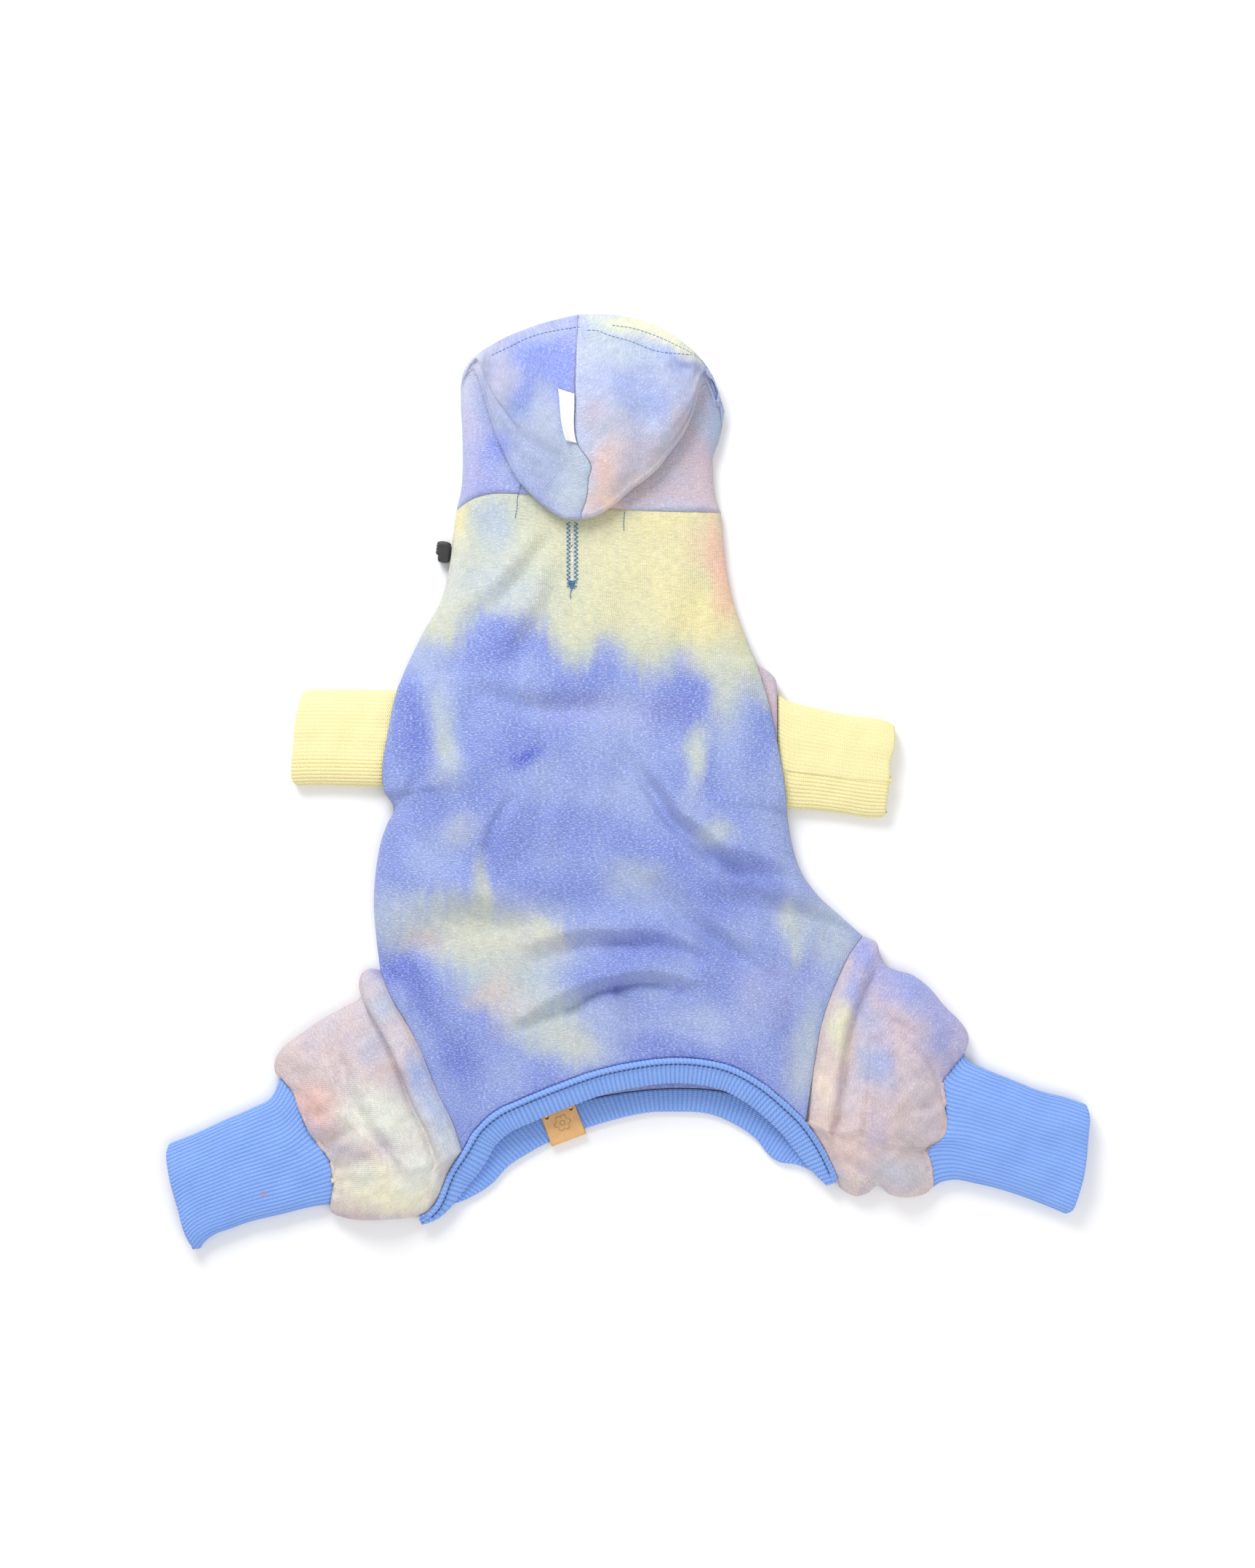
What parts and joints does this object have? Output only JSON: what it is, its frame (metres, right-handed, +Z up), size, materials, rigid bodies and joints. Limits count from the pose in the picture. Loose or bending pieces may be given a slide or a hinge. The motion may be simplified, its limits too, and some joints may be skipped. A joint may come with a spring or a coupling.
{
  "type": "dog jumpsuit",
  "caption": "Hooded dog jumpsuit of tie-dyed terry with ribbed leg cuffs, a banded rump opening and a leash slit, laid flat with its back up.",
  "frame": {"origin": "on the surface that it lies on, under the middle of its width and length", "axes": "+Z up out of the back, +Y towards the hood, +X to the right side of the picture"},
  "size_m": [0.572, 0.579, 0.0393],
  "materials": {
    "terry_back": "tie-dyed terry knit, matt",
    "terry_belly": "tie-dyed terry knit, matt",
    "terry_hood": "tie-dyed terry knit, matt",
    "terry_leg": "tie-dyed terry knit, matt",
    "rib_yellow": "one by one rib knit, matt",
    "rib_blue": "one by one rib knit, matt",
    "leather_tan": "grained, satin",
    "tape_white": "woven tape, matt",
    "plastic_black": "moulded, matt"
  },
  "bodies": {
    "root": {"back_panel": "terry_back", "band_piping": "rib_blue", "belly_panel": "terry_belly", "cord_toggle": "plastic_black", "front_cuff_left": "rib_yellow", "front_cuff_right": "rib_yellow", "front_sleeve_left": "terry_belly", "front_sleeve_right": "terry_belly", "hood_left": "terry_hood", "hood_right": "terry_hood", "hood_tag": "tape_white", "leather_label": "leather_tan", "rear_cuff_left": "rib_blue", "rear_cuff_right": "rib_blue", "rear_leg_left": "terry_leg", "rear_leg_right": "terry_leg", "rump_band_back": "rib_blue", "rump_band_belly": "rib_blue"}
  },
  "joints": []
}
